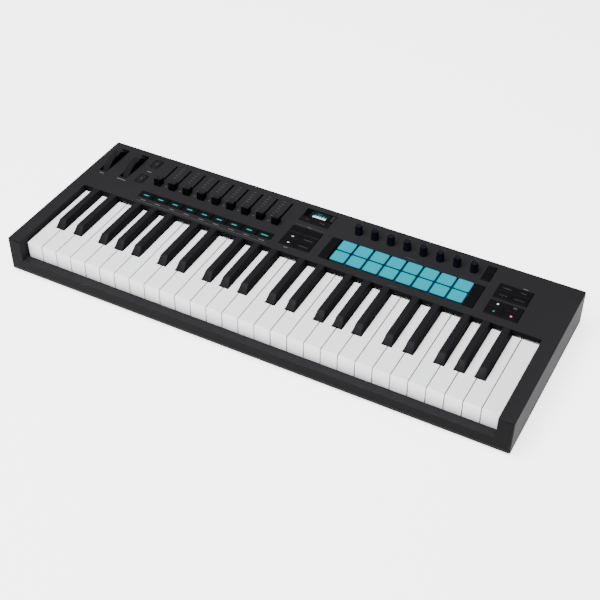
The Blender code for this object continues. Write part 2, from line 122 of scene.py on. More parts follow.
# Legends on the buttons, as plain bars.
BUTTON_LEGENDS = (
    (-7.4, 5.4, 185.2, 186.1), (-7.4, 5.4, 170.7, 171.6),
    (265.2, 276.6, 218.8, 219.7), (265.8, 275.8, 204.2, 205.0),
    (289.6, 296.4, 219.4, 220.3), (286.4, 299.0, 204.3, 205.1),
)


# ---------------------------------------------------------------- settings
def length(name, default, description):
    return FloatProperty(name=name, default=default, description=description,
                         unit="LENGTH", min=0.0, precision=5)


def colour(name, default, description):
    return FloatVectorProperty(name=name, default=default, description=description,
                               subtype="COLOR", size=3, min=0.0, max=1.0)


def amount(name, default, description, top=1.0):
    return FloatProperty(name=name, default=default, description=description, min=0.0, max=top)


class KeyboardSizes(bpy.types.PropertyGroup):
    """Sizes of the surface detail."""

    case_edge: length("Case edge", 0.0005, "Rounding of the case's moulded edges")
    key_edge: length("Key edge", 0.0003, "Rounding of the keys' edges")
    button_edge: length("Button edge", 0.00025, "Rounding of the small buttons")
    pad_corner: length("Pad corner", 0.0024, "Corner radius of a drum pad")
    pad_crown: length("Pad crown", 0.0009, "How far a pad's middle rises over its rim")
    print_lift: length("Print thickness", 0.00006, "Thickness of the printed marks")
    scale_marks: IntProperty(name="Scale marks", default=7, min=2, max=20,
                             description="Printed lines beside each fader slot")
    knob_flutes: IntProperty(name="Knob flutes", default=18, min=6, max=60,
                             description="Grip grooves round each encoder knob")


class KeyboardColours(bpy.types.PropertyGroup):
    """Colours of the finishes."""

    shell: colour("Case", (0.0120, 0.0115, 0.0127), "Charcoal case plastic")
    button: colour("Buttons", (0.0026, 0.0025, 0.0033), "Silicone of the small buttons")
    ivory: colour("White keys", (0.78, 0.785, 0.80), "White key plastic")
    ebony: colour("Black keys", (0.0078, 0.0076, 0.0088), "Black key plastic")
    cap: colour("Caps", (0.0011, 0.0011, 0.0016), "Knobs and fader caps")
    ink: colour("Print", (0.09, 0.09, 0.093), "Ink of the marks on the panel")
    glow: colour("Pad light", (0.0, 0.74, 0.92), "Light through the drum pads")
    play: colour("Play mark", (0.20, 0.95, 0.55), "Light of the play mark")
    record: colour("Record mark", (1.0, 0.18, 0.30), "Light of the record mark")


class KeyboardStudio(bpy.types.PropertyGroup):
    """Lights, floor and camera."""

    key_power: amount("Overhead light", 195.0, "Power of the large overhead light", 2000.0)
    fill_power: amount("Front light", 50.0, "Power of the soft light in front", 1000.0)
    side_power: amount("Side light", 5.0, "Power of the light at the treble end", 1000.0)
    world: amount("Room light", 0.30, "Strength of the pale surroundings", 10.0)
    floor: colour("Floor", (0.93, 0.93, 0.93), "Plain pale floor")
    floor_glow: amount("Floor glow", 2.6, "Light of the floor's own, as on a light table", 10.0)
    lens: FloatProperty(name="Lens", default=72.5, min=10.0, unit="CAMERA",
                        description="Focal length of the camera in millimetres")


def sizes():
    return bpy.context.scene.keyboard_sizes


def colours():
    return bpy.context.scene.keyboard_colours


def studio():
    return bpy.context.scene.keyboard_studio


# ---------------------------------------------------------------- shader sums
class Wire:
    """A shader socket that Python sums turn into Math nodes."""

    def __init__(self, paint, socket):
        self.paint = paint
        self.socket = socket

    def sum(self, operation, first, second=0.0):
        node = self.paint.node("ShaderNodeMath", {"operation": operation}, {0: first, 1: second})
        return Wire(self.paint, node.outputs[0])

    def __add__(self, other):
        return self.sum("ADD", self, other)

    def __sub__(self, other):
        return self.sum("SUBTRACT", self, other)

    def __rsub__(self, other):
        return self.sum("SUBTRACT", other, self)

    def __mul__(self, other):
        return self.sum("MULTIPLY", self, other)

    def __truediv__(self, other):
        return self.sum("DIVIDE", self, other)

    def __abs__(self):
        return self.sum("ABSOLUTE", self)

    def __pow__(self, other):
        return self.sum("POWER", self, other)

    def fraction(self):
        return self.sum("FRACT", self)

    def above(self, other):
        return self.sum("GREATER_THAN", self, other)

    def larger(self, other):
        return self.sum("MAXIMUM", self, other)

    __radd__ = __add__
    __rmul__ = __mul__


class Paint:
    """A node material under construction."""

    def __init__(self, name, base, roughness, metallic=0.0, **fixed):
        self.material = bpy.data.materials.new(name)
        self.material.use_nodes = True
        self.tree = self.material.node_tree
        self.shader = self.tree.nodes["Principled BSDF"]
        self.base = (*base, 1.0)
        self.shader.inputs["Base Color"].default_value = self.base
        self.shader.inputs["Roughness"].default_value = roughness
        self.shader.inputs["Metallic"].default_value = metallic
        for socket, value in fixed.items():
            self.shader.inputs[socket.replace("_", " ")].default_value = value

    def node(self, kind, settings=None, inputs=None):
        """Any node: settings first, then the values or wires of its sockets."""
        node = self.tree.nodes.new(kind)
        for key, value in (settings or {}).items():
            setattr(node, key, value)
        for key, value in (inputs or {}).items():
            if isinstance(value, Wire):
                self.tree.links.new(value.socket, node.inputs[key])
            else:
                node.inputs[key].default_value = value
        return node

    def place(self):
        coords = self.node("ShaderNodeTexCoord")
        return Wire(self, coords.outputs["Object"])

    def axes(self):
        split = self.node("ShaderNodeSeparateXYZ", inputs={0: self.place()})
        return [Wire(self, output) for output in split.outputs]

    def noise(self, scale, detail=2.0, stretch=None):
        where = self.place()
        if stretch:
            mapped = self.node("ShaderNodeMapping", inputs={"Vector": where, "Scale": stretch})
            where = Wire(self, mapped.outputs[0])
        node = self.node("ShaderNodeTexNoise", inputs={
            "Vector": where, "Scale": scale, "Detail": detail})
        return Wire(self, node.outputs["Fac"])

    def blend(self, mask, first, second):
        """Mixes two colours, each of them plain or a wire."""
        ends = [end if isinstance(end, Wire) else (*end[:3], 1.0) for end in (first, second)]
        node = self.node("ShaderNodeMix", {"data_type": "RGBA"}, {
            "Factor": mask, 6: ends[0], 7: ends[1]})
        return Wire(self, node.outputs[2])

    def feed(self, socket, wire):
        self.tree.links.new(wire.socket, self.shader.inputs[socket])
        return self

    def bump(self, height, distance):
        node = self.node("ShaderNodeBump", inputs={
            "Height": height, "Distance": distance, "Strength": 1.0})
        return self.feed("Normal", Wire(self, node.outputs[0]))

    def tint(self, mask, change):
        """Lightens or darkens the base colour where the mask is high."""
        shifted = [min(1.0, part * change) for part in self.base[:3]]
        return self.feed("Base Color", self.blend(mask, self.base, shifted))


def moulded(name, base, roughness, grain=0.00003, spark=1900.0, gloss=0.06):
    """Spark-eroded moulding texture with faint clouding."""
    paint = Paint(name, base, roughness, Specular_IOR_Level=gloss)
    fine = paint.noise(spark, 2.0)
    cloud = paint.noise(9.0, 3.0)
    paint.tint(cloud, 1.25)
    paint.feed("Roughness", fine * 0.16 + cloud * 0.06 + (roughness - 0.11))
    return paint.bump(fine, grain).material


def key_plastic(name, base, roughness):
    """Smooth plastic with an orange-peel ripple and worn, shinier patches."""
    paint = Paint(name, base, roughness, Specular_IOR_Level=0.5)
    worn = paint.noise(26.0, 4.0, (1.0, 0.35, 1.0))
    ripple = paint.noise(420.0, 2.0)
    paint.tint(worn, 0.94)
    paint.feed("Roughness", worn * 0.18 + ripple * 0.05 + (roughness - 0.11))
    return paint.bump(ripple, 0.000012).material


def soft_rubber(name, base, roughness=0.62, gloss=0.05):
    """Matt rubber with a fine speckle."""
    paint = Paint(name, base, roughness, Specular_IOR_Level=gloss)
    speckle = paint.noise(2600.0, 3.0)
    dust = paint.noise(60.0, 4.0)
    paint.tint(dust, 1.35)
    paint.feed("Roughness", speckle * 0.2 + (roughness - 0.1))
    return paint.bump(speckle, 0.00002).material


def zinc_plate(name, base=(0.55, 0.56, 0.58)):
    """Plated sheet metal with crystal-sized mottling and drawn lines."""
    paint = Paint(name, base, 0.34, 1.0)
    drawn = paint.noise(500.0, 3.0, (0.05, 1.0, 1.0))
    mottle = paint.noise(70.0, 2.0)
    paint.tint(mottle, 0.8)
    paint.feed("Roughness", drawn * 0.25 + 0.22)
    return paint.bump(drawn, 0.00001).material


def solder_mask(name):
    """Green board lacquer over a grid of raised copper tracks."""
    paint = Paint(name, (0.012, 0.11, 0.045), 0.36, Coat_Weight=0.3)
    x, y, z = paint.axes()
    lane_x = abs((x / 0.0016).fraction() - 0.5)
    lane_y = abs((y / 0.0021).fraction() - 0.5)
    patch = paint.noise(90.0, 0.0).above(0.5)
    tracks = (lane_x * patch + lane_y * (1.0 - patch)).above(0.27)
    lacquer = paint.blend(tracks, paint.base, [part * 2.1 for part in paint.base])
    off_board = abs(z - BOARD_MIDDLE * MM).above(0.0009)
    grain = paint.noise(800.0)
    parts = paint.blend(grain, (0.004, 0.004, 0.005), (0.007, 0.007, 0.008))
    paint.feed("Base Color", paint.blend(off_board, lacquer, parts))
    return paint.bump(tracks * (1.0 - off_board), 0.00004).material


def lit(name, base, strength):
    """A lit mark whose light is uneven, as through moulded plastic."""
    paint = Paint(name, (0.002, 0.002, 0.002), 0.6, Emission_Strength=strength,
                  Specular_IOR_Level=0.02)
    grain = paint.noise(900.0, 2.0)
    paint.feed("Emission Color", paint.blend(grain, base, [part * 0.8 for part in base]))
    return paint.material


def pad_glow(name, base, strength, columns, rows):
    """Silicone lit from below: bright on top, deeper at the rim and dark down the sides.

    columns and rows are the places of the first two pads each way, in metres.
    """
    paint = Paint(name, (0.0, 0.006, 0.008), 0.6, Emission_Strength=strength,
                  Specular_IOR_Level=0.01)
    x, y, z = paint.axes()
    off_middle = []
    for place, (first, second) in ((x, columns), (y, rows)):
        pitch = second - first
        off_middle.append(abs(((place - (first - pitch / 2)) / pitch).fraction() - 0.5) * 2.0)
    rim = (off_middle[0] ** 5.0).larger(off_middle[1] ** 5.0)
    wall = (PAD_WALL_TOP * MM - z).above(0.0)
    grain = paint.noise(700.0, 3.0)
    edge = [base[0], base[1] * 0.42, base[2] * 0.5]
    glow = paint.blend(rim * 0.35, base, edge)
    paint.feed("Emission Color", paint.blend(wall, glow, (0.0, 0.03, 0.07)))
    paint.feed("Roughness", grain * 0.2 + 0.34)
    return paint.bump(grain, 0.00003).material


def ink(name, base):
    """Screen-printed ink with slightly broken cover."""
    paint = Paint(name, base, 0.6)
    cover = paint.noise(3000.0, 1.0)
    return paint.tint(cover, 0.72).material


def gloss_lens(name, base=(0.0006, 0.0007, 0.0008), roughness=0.08, gloss=0.05):
    """Smoked gloss acrylic with hairline polish marks."""
    paint = Paint(name, base, roughness, Specular_IOR_Level=gloss)
    hair = paint.noise(900.0, 2.0, (0.08, 1.0, 1.0))
    paint.feed("Roughness", hair * 0.12 + (roughness - 0.05))
    return paint.tint(paint.noise(40.0), 1.4).material


FINISHES = {}


def finish(name):
    """Each finish is made once, when the first piece asks for it."""
    if name not in FINISHES:
        FINISHES[name] = MAKERS[name]()
    return FINISHES[name]


MAKERS = {
    "shell": lambda: moulded("case_plastic", colours().shell, 0.5, gloss=0.02),
    # The case plastic darkened to about a third for the faces turned to the front: painted shade.
    "front_face_painted_shade": lambda: moulded("painted_shade_case_front", [part * 0.36 for part in colours().shell],
                                   0.5, gloss=0.02),
    "pan": lambda: moulded("pan_plastic", (0.0048, 0.0048, 0.0052), 0.6, 0.00005, 1200.0),
    "ivory": lambda: key_plastic("white_key_plastic", colours().ivory, 0.34),
    # Dark grey for the white keys' side faces: painted shade in the gaps between the keys.
    "ivory_gap_painted_shade": lambda: key_plastic("white_key_gap_painted_shade", (0.10, 0.10, 0.105), 0.5),
    "ebony": lambda: moulded("black_key_plastic", colours().ebony, 0.42, 0.00002, 1500.0, 0.03),
    "ebony_front": lambda: moulded("black_key_slope", colours().ebony, 0.36, 0.00002, 1500.0,
                                   0.035),
    "ebony_side": lambda: moulded("black_key_side", colours().ebony, 0.5, 0.00002, 1500.0, 0.012),
    # A lighter rubber colour for the faces on top of the fader caps: painted highlight.
    "cap_painted_highlight": lambda: soft_rubber("painted_highlight_cap_rubber", (0.0090, 0.0087, 0.0096), 0.6, 0.02),
    "cap": lambda: soft_rubber("cap_rubber", colours().cap, 0.6, 0.02),
    "wheel": lambda: soft_rubber("wheel_rubber", (0.0072, 0.0070, 0.0078), 0.7, 0.012),
    "button": lambda: soft_rubber("button_silicone", colours().button, 0.55),
    "octave_button": lambda: soft_rubber("octave_silicone", (0.0080, 0.0078, 0.0088), 0.55),
    "dark_button": lambda: soft_rubber("dark_silicone", [part * 0.75 for part in colours().button]),
    "knob": lambda: soft_rubber("knob_rubber", (0.0016, 0.0021, 0.0042), 0.55, 0.03),
    "web": lambda: soft_rubber("mat_silicone", (0.0022, 0.0022, 0.0028), 0.6),
    "felt": lambda: soft_rubber("slot_felt", (0.002, 0.002, 0.002), 0.95),
    "zinc": lambda: zinc_plate("zinc_plate"),
    "board": lambda: solder_mask("board_lacquer"),
    "lens": lambda: gloss_lens("display_lens"),
    "pad": lambda: pad_glow("pad_silicone", colours().glow, 0.80,
                            [node_middle(f"encoder_knob_{number}").x for number in (1, 2)],
                            [spot(0, y, 0).y for y in PAD_ROWS]),
    "pad_bed": lambda: lit("pad_light_bed", (0.0, 0.09, 0.15), 1.0),
    "ink": lambda: ink("panel_ink", colours().ink),
    "faint_ink": lambda: ink("faint_ink", [part * 0.28 for part in colours().ink]),
    "scale_ink": lambda: ink("scale_ink", [part * 0.42 for part in colours().ink]),
    "legend_ink": lambda: ink("legend_ink", [part * 0.3 for part in colours().ink]),
    "label": lambda: ink("label_paper", (0.35, 0.35, 0.36)),
    "label_field": lambda: gloss_lens("label_field", (0.0042, 0.0038, 0.0044), 0.3),
    "foot": lambda: soft_rubber("foot_rubber", (0.006, 0.006, 0.006), 0.85),
    "brass": lambda: zinc_plate("brass_contact", (0.62, 0.45, 0.18)),
    # A lighter copy of the knob colour for the knobs' tops: painted highlight.
    "knob_painted_highlight": lambda: soft_rubber("painted_highlight_knob_rubber", (0.0044, 0.0048, 0.0070), 0.5),
    # Near black for the wheels' side faces: painted shade.
    "wheel_side_painted_shade": lambda: soft_rubber("painted_shade_wheel_side", (0.0008, 0.0008, 0.0008), 0.6, 0.02),
    "screen_grey": lambda: gloss_lens("display_margin", (0.012, 0.012, 0.013), 0.3),
    "cyan_core": lambda: lit("lamp_core", (0.10, 1.0, 1.0), 0.62),
    "cyan_halo": lambda: lit("lamp_window", (0.0, 0.26, 0.29), 0.16),
    "screen": lambda: lit("screen_light", (0.66, 0.97, 1.0), 2.4),
    "screen_mist": lambda: lit("screen_mist", (0.20, 0.62, 0.70), 0.42),
    "screen_dim": lambda: lit("screen_dim", (0.02, 0.20, 0.24), 0.09),
    "white_mark": lambda: lit("white_mark", (0.9, 0.92, 0.95), 1.6),
    "grey_mark": lambda: lit("grey_mark", (0.28, 0.28, 0.30), 0.7),
    "play_mark": lambda: lit("play_mark", colours().play, 0.75),
    "play_halo": lambda: lit("play_halo", (0.0, 0.06, 0.04), 0.45),
    "record_mark": lambda: lit("record_mark", colours().record, 2.0),
    "record_halo": lambda: lit("record_halo", (0.12, 0.0, 0.012), 0.5),
}


# ---------------------------------------------------------------- mesh helpers
FRONT = CAD_BOX[0][1]


def spot(x, y, z):
    """A point in metres from millimetres, with y counted from the case's front."""
    return Vector((x * MM, FRONT + y * MM, z * MM))


PANEL_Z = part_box("top_case")[1][2] / MM


def node_middle(node):
    low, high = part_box(node)
    return (Vector(low) + Vector(high)) / 2


def slab(bm, x0, x1, y0, y1, z0, z1):
    """A plain block, its corners in millimetres."""
    low, high = spot(x0, y0, z0), spot(x1, y1, z1)
    place = Matrix.Translation((low + high) / 2) @ Matrix.Diagonal((*(high - low), 1.0))
    return bmesh.ops.create_cube(bm, size=1.0, matrix=place)["verts"]


def disc(bm, x, y, z0, z1, radius, segments, turn=0.0):
    """An upright prism, or with many segments a cylinder."""
    middle = spot(x, y, (z0 + z1) / 2)
    place = Matrix.Translation(middle) @ Matrix.Rotation(turn, 4, "Z")
    return bmesh.ops.create_cone(bm, cap_ends=True, segments=segments, radius1=radius * MM,
                                 radius2=radius * MM, depth=(z1 - z0) * MM, matrix=place)["verts"]


def crowned(bm, box, top, base, corner, edge, crown=0.0, divisions=14):
    """A block with round corners, a rolled top edge and a domed or dished top.

    All sizes are in millimetres. A grid is drawn out to the rounded outline, closer
    together near its rim, and its border is pulled down to the base.
    """
    x0, x1, y0, y1 = box
    half_x, half_y = (x1 - x0) / 2, (y1 - y0) / 2
    middle_x, middle_y = (x0 + x1) / 2, (y0 + y1) / 2
    grid = bmesh.ops.create_grid(bm, x_segments=divisions, y_segments=divisions, size=1.0)["verts"]
    for vert in grid:
        u = math.sin(vert.co.x * math.pi / 2)
        v = math.sin(vert.co.y * math.pi / 2)
        x, y = u * half_x, v * half_y
        over_x, over_y = abs(x) - (half_x - corner), abs(y) - (half_y - corner)
        inward = min(half_x - abs(x), half_y - abs(y))
        if over_x > 0 and over_y > 0:
            reach = math.hypot(over_x, over_y)
            square = max(over_x, over_y)
            x = math.copysign(half_x - corner + over_x * square / reach, x)
            y = math.copysign(half_y - corner + over_y * square / reach, y)
            inward = corner - square
        roll = max(0.0, 1.0 - inward / edge)
        drop = edge * (1.0 - math.sqrt(max(0.0, 1.0 - roll * roll)))
        dome = crown * (1.0 - u * u) * (1.0 - v * v)
        vert.co = spot(middle_x + x, middle_y + y, top - max(crown, 0.0) + dome - drop)
    rim = [e for e in {e for v in grid for e in v.link_edges} if len(e.link_faces) == 1]
    grown = bmesh.ops.extrude_edge_only(bm, edges=rim)["geom"]
    lowest = [v for v in grown if isinstance(v, bmesh.types.BMVert)]
    for vert in lowest:
        vert.co.z = base * MM
    under = [e for e in grown if isinstance(e, bmesh.types.BMEdge)]
    bmesh.ops.holes_fill(bm, edges=under)
    return grid


def keep(bm, name, material, body, replaces=(), smooth=35.0, tidy=True,
         others=(), pick=None):
    """Turns a bmesh into a finished piece that rides on a body of the frame.

    pick() gives each face 0 for the material, or 1 and up for one of the others. A copy
    of a CAD mesh already faces outwards, so its faces aren't turned: tidy is off.
    """
    if tidy:
        bmesh.ops.recalc_face_normals(bm, faces=bm.faces[:])
    if pick:
        for face in bm.faces:
            face.material_index = int(pick(face))
    mesh = bpy.data.meshes.new(name)
    bm.to_mesh(mesh)
    bm.free()
    for used in (material, *others):
        mesh.materials.append(finish(used))
    mesh.set_sharp_from_angle(angle=math.radians(smooth))
    for face in mesh.polygons:
        face.use_smooth = max(abs(part) for part in face.normal) < SQUARE
    piece = bpy.data.objects.new(name, mesh)
    bpy.context.scene.collection.objects.link(piece)
    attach(piece, body)
    if replaces:
        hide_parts(*replaces)


def softened(node, edge, cut=None):
    """A merged copy of a CAD node's mesh with every hard edge rounded.

    Whatever stands below the height cut is taken off and its holes are closed.
    """
    bm = bmesh.new()
    bm.from_mesh(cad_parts[node].data)
    bmesh.ops.remove_doubles(bm, verts=bm.verts[:], dist=1e-6)
    if cut is not None:
        low = [face for face in bm.faces if any(vert.co.z < cut for vert in face.verts)]
        bmesh.ops.delete(bm, geom=low, context="FACES")
        bmesh.ops.holes_fill(bm, edges=[rim for rim in bm.edges if rim.is_boundary])
    bmesh.ops.dissolve_limit(bm, angle_limit=math.radians(0.5), verts=bm.verts[:],
                             edges=bm.edges[:])
    hard = [e for e in bm.edges if len(e.link_faces) == 2
            and e.calc_face_angle() > math.radians(28.0)]
    bmesh.ops.bevel(bm, geom=hard, offset=edge, offset_type="OFFSET", segments=2,
                    profile=0.5, affect="EDGES", clamp_overlap=True, material=-1)
    return bm


def recolour(node, material):
    """Gives a CAD node that stays in view its finish."""
    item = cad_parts[node]
    item.data.materials.clear()
    item.data.materials.append(finish(material))


# ---------------------------------------------------------------- case
def build_case():
    edge = sizes().case_edge
    # Faces turned to the front take the darker copy of the case plastic, painted shade on the front
    # of the case.
    keep(softened("top_case", edge), "top_shell", "shell", CASE, ["top_case"], tidy=False,
         others=["front_face_painted_shade"], pick=lambda face: face.normal.y < -0.5)
    pan = softened("bottom_case", edge, cut=(PAN_UNDER - 0.1) * MM)
    keep(pan, "bottom_pan", "pan", CASE, ["bottom_case"])


def lathe(bm, x, y, profile, segments, level=None):
    """Spins a profile of (radius, height) pairs round an upright axis.

    With a level given, the axis lies front to rear at that height.
    """
    if level is None:
        middle, axis = spot(x, y, 0), (0, 0, 1)
        points = [spot(x + radius, y, height) for radius, height in profile]
    else:
        middle, axis = spot(x, 0, level), (0, 1, 0)
        points = [spot(x + radius, height, level) for radius, height in profile]
    verts = [bm.verts.new(point) for point in points]
    edges = [bm.edges.new(pair) for pair in zip(verts, verts[1:])]
    bmesh.ops.spin(bm, geom=verts + edges, cent=middle, axis=axis, angle=FULL_TURN,
                   steps=segments, use_merge=True)
    bmesh.ops.remove_doubles(bm, verts=bm.verts[:], dist=1e-6)


def build_underside():
    foot = ((0.0, 0.5), (5.6, 0.5), (6.2, 0.02), (8.2, 0.02), (8.8, 0.5), (9.0, 3.4), (0.0, 3.4))
    well = ((3.5, 3.2), (3.5, 2.75), (4.6, 2.75), (5.0, 3.2), (3.5, 3.2))
    screw = ((0.0, 3.3), (0.0, 2.98), (1.3, 2.98), (1.8, 2.66), (2.6, 2.7), (3.0, 3.3), (0.0, 3.3))
    feet, screws, wells = (bmesh.new() for _ in range(3))
    for x, y in FEET:
        lathe(feet, x, y, foot, 32)
    keep(feet, "rubber_feet", "foot", CASE)

    for x, y in SCREWS:
        lathe(wells, x, y, well, 24)
        lathe(screws, x, y, screw, 24)
    keep(wells, "screw_wells", "pan", CASE)
    keep(screws, "case_screws", "zinc", CASE)

    plate = bmesh.new()
    crowned(plate, (-46.0, 46.0, 118.0, 146.0), -2.78, -3.2, 3.0, 0.05)
    bmesh.ops.scale(plate, vec=(1, 1, -1), verts=plate.verts[:])
    keep(plate, "rating_plate", "label", CASE)

    ribs = bmesh.new()
    for number in range(12):
        x = -66.0 + number * 12.0
        slab(ribs, x - 3.6, x + 3.6, 178.0, 179.6, 2.8, 3.1)
        slab(ribs, x - 3.6, x + 3.6, 184.0, 185.6, 2.8, 3.1)
    keep(ribs, "underside_ribs", "pan", CASE)


def build_rear_sockets():
    rings, inserts, contacts = bmesh.new(), bmesh.new(), bmesh.new()
    five_pin = ((6.0, 257.7), (6.0, 262.8), (7.1, 262.8), (7.4, 262.4), (7.4, 260.9), (6.3, 260.9),
                (6.3, 257.7), (6.0, 257.7))
    foot_switch = ((3.0, 257.7), (3.0, 263.2), (3.9, 263.2), (4.4, 262.6), (4.4, 260.9),
                   (3.2, 260.9), (3.2, 257.7), (3.0, 257.7))
    insert = ((0.0, 258.6), (5.4, 258.6), (5.95, 258.2), (5.95, 257.6), (0.0, 257.6))
    contact = ((0.4, 258.2), (0.4, 258.8), (0.85, 258.8), (0.85, 258.2), (0.4, 258.2))
    lathe(rings, FIVE_PIN_X, 0, five_pin, 40, SOCKET_LEVEL)
    lathe(rings, FOOT_SWITCH_X, 0, foot_switch, 32, SOCKET_LEVEL)
    lathe(inserts, FIVE_PIN_X, 0, insert, 40, SOCKET_LEVEL)
    for step in range(5):
        turn = math.pi * step / 4
        lathe(contacts, FIVE_PIN_X + 4.0 * math.cos(turn), 0, contact, 12,
              SOCKET_LEVEL + 4.0 * math.sin(turn))
    # The cable socket is a flat shell round a tongue with six contacts.
    for low, high in ((32.65, 32.95), (35.05, 35.35)):
        slab(rings, -282.7, -273.9, 257.6, 261.9, low, high)
    for left in (-282.7, -274.2):
        slab(rings, left, left + 0.3, 257.6, 261.9, 32.7, 35.3)
    slab(inserts, -281.4, -275.2, 257.4, 261.0, 33.7, 34.3)
    for step in range(6):
        x = -280.8 + step
        slab(contacts, x, x + 0.5, 257.8, 260.8, 34.25, 34.36)
    keep(rings, "socket_shells", "zinc", CASE)
    keep(inserts, "socket_inserts", "web", CASE)
    keep(contacts, "socket_contacts", "brass", CASE)


def build_inside():
    recolour("keybed_chassis", "zinc")
    recolour("main_board", "board")


# ---------------------------------------------------------------- print
def bars(marks, base, thickness):
    """Printed bars, a hair thick, standing on the surface below them."""
    bm = bmesh.new()
    for x0, x1, y0, y1 in marks:
        slab(bm, x0, x1, y0, y1, base - 0.02, base + thickness)
    return bm


def build_print():
    thickness = sizes().print_lift / MM
    strip = [fader_x(number) for number in range(1, FADERS + 1)]
    labels = tuple((x - 3.6, x + 5.0, 158.6, 159.6) for x in strip)
    keep(bars(BRIGHT_PRINT + labels, PANEL_Z, thickness), "panel_legends", "ink", CASE)
    keep(bars(FAINT_PRINT, PANEL_Z, thickness), "panel_rules", "faint_ink", CASE)

    marks = []
    count = sizes().scale_marks
    for left, right in zip(strip, strip[1:]):
        middle = (left + right) / 2
        marks += [(middle - 1.6, middle + 1.6, 200.4, 201.6)]
        for step in range(count):
            y = 213.0 + step * 36.0 / (count - 1)
            marks.append((middle - 2.3, middle + 2.3, y - 0.4, y + 0.4))
    keep(bars(marks, PANEL_Z, thickness), "fader_scales", "scale_ink", CASE)


# ---------------------------------------------------------------- keys
def build_white_keys():
    for index in range(1, WHITE_KEYS + 1):
        node = f"white_key_{index:02d}"
        bm = softened(node, sizes().key_edge)
        # The side faces of each key, seen only in the gaps, take a dark grey: painted shade between
        # the keys.
        keep(bm, f"ivory_{index:02d}", "ivory", node, [node], tidy=False,
             others=["ivory_gap_painted_shade"], pick=lambda face: abs(face.normal.x) > 0.9)


def build_black_keys():
    for octave in range(1, WHITE_KEYS // 7 + 1):
        node = f"black_keys_octave_{octave}"
        bm = softened(node, sizes().key_edge)
        keep(bm, f"ebony_{octave}", "ebony", node, [node], tidy=False,
             others=["ebony_front", "ebony_side"], pick=black_key_finish)


def black_key_finish(face):
    """Satin tops, polished front slopes and matt sides."""
    if face.normal.y < -0.6:
        return 1
    return 2 if abs(face.normal.x) > 0.85 else 0


# ---------------------------------------------------------------- controls
def fader_x(number):
    return node_middle(f"fader_cap_{number}").x / MM


def encoder_x(number):
    return node_middle(f"encoder_knob_{number}").x / MM


def node_box(node):
    """The node's box in millimetres, with y counted from the front face."""
    low, high = (Vector(corner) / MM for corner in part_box(node))
    shift = Vector((0, FRONT / MM, 0))
    return low - shift, high - shift


def build_faders():
    for number in range(1, FADERS + 1):
        node = f"fader_cap_{number}"
        low, high = node_box(node)
        x, y = (low.x + high.x) / 2, (low.y + high.y) / 2
        base = PANEL_Z + 0.7
        bm = bmesh.new()
        fader_grip(bm, x, y, high.x - x, high.y - y, base, high.z)
        # The faces turned upwards take the lighter colour: a painted highlight on the tops of the
        # caps.
        keep(bm, f"fader_grip_{number}", "cap", node, [node], smooth=42.0,
             others=["cap_painted_highlight"], pick=lambda face: face.normal.z > 0.6)
        stem = bmesh.new()
        slab(stem, x - 0.7, x + 0.7, y - 2.2, y + 2.2, low.z, base + 0.4)
        keep(stem, f"fader_stem_{number}", "zinc", node)

    felt = bmesh.new()
    front, rear = FADER_SLOT_ENDS
    for number in range(1, FADERS + 1):
        x = fader_x(number)
        slab(felt, x - 3.2, x - 0.8, front - 1, rear + 1, 51.02, 51.5)
        slab(felt, x + 0.8, x + 3.2, front - 1, rear + 1, 51.02, 51.5)
    keep(felt, "fader_slot_felt", "felt", CASE)


def fader_grip(bm, x, y, half_x, half_y, base, top):
    """A grip with a ribbed finger scoop between a front and a rear ridge."""
    steps = 22
    profile = [(-half_y, base), (-half_y + 0.1, base + 3.2)]
    for step in range(steps + 1):
        share = 2.0 * step / steps - 1.0
        scoop = 1.5 * (1.0 - share * share)
        rib = 0.13 * (step % 2) * (1.0 - share ** 6)
        profile.append((share * (half_y - 1.0), top - scoop - rib))
    profile += [(half_y - 0.1, base + 3.2), (half_y, base)]
    side = [bm.verts.new(spot(x - half_x, y + along, height)) for along, height in profile]
    face = bm.faces.new(side)
    grown = bmesh.ops.extrude_face_region(bm, geom=[face])["geom"]
    moved = [vert for vert in grown if isinstance(vert, bmesh.types.BMVert)]
    bmesh.ops.translate(bm, vec=(2 * half_x * MM, 0, 0), verts=moved)
    bmesh.ops.recalc_face_normals(bm, faces=bm.faces[:])
    rims = []
    for edge in bm.edges:
        on_side = any(abs(near.normal.x) > 0.9 for near in edge.link_faces)
        above_base = max(vert.co.z for vert in edge.verts) > base * MM + 1e-5
        if above_base and (on_side or edge.calc_face_angle() > math.radians(30)):
            rims.append(edge)
    bmesh.ops.bevel(bm, geom=rims, offset=0.45 * MM, offset_type="OFFSET", segments=2, profile=0.5,
                    affect="EDGES", clamp_overlap=True, material=-1)


def build_encoders():
    flutes = sizes().knob_flutes
    for number in range(1, ENCODERS + 1):
        node = f"encoder_knob_{number}"
        low, high = node_box(node)
        x, y = (low.x + high.x) / 2, (low.y + high.y) / 2
        bm = bmesh.new()
        knob_body(bm, x, y, low.z, high.z, (high.x - low.x) / 2, flutes)
        rim = high.z * MM - 0.0009
        # The top, above the rolled rim, takes the lighter colour: a painted highlight on each knob.
        keep(bm, f"knob_{number}", "knob", node, [node], smooth=50.0, others=["knob_painted_highlight"],
             pick=lambda face, rim=rim: face.normal.z > 0.5 and face.calc_center_median().z > rim)


